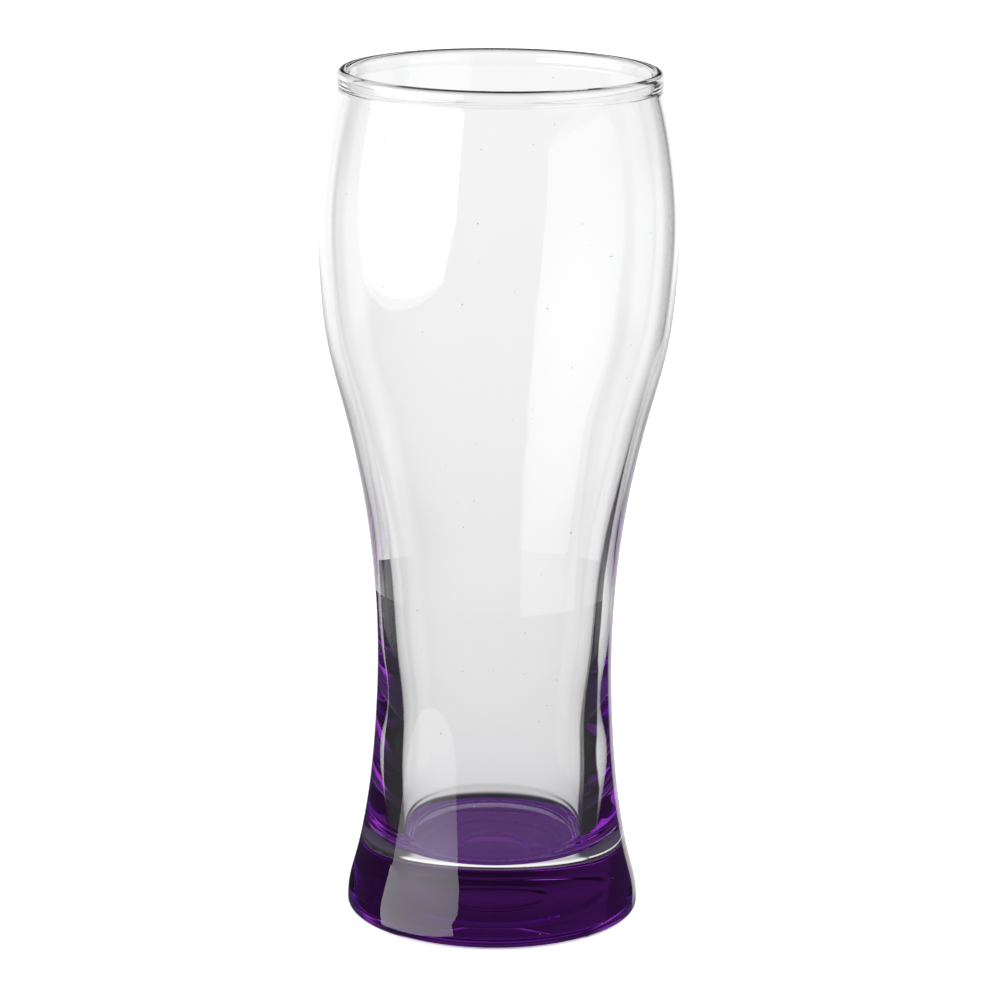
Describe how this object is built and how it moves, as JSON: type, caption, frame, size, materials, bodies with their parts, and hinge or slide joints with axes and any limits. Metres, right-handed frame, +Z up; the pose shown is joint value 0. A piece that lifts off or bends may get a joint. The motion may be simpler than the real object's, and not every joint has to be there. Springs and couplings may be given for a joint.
{
  "type": "pilsner glass",
  "caption": "Tall waisted beer glass with a heavy flared foot, a thin bulbous bowl, a beaded rim and a violet lacquer coat under the foot.",
  "frame": {"origin": "middle of the ring that the glass stands on, at table level", "axes": "+Z up along the axis of the glass, from the foot to the rim; the part is round, so +X and +Y are any two square directions"},
  "size_m": [0.0802, 0.0802, 0.193],
  "materials": {
    "clear_glass": "fire-polished",
    "violet_lacquer": "gloss"
  },
  "bodies": {
    "root": {"glass_body": "clear_glass", "base_coat": "violet_lacquer"}
  },
  "joints": []
}
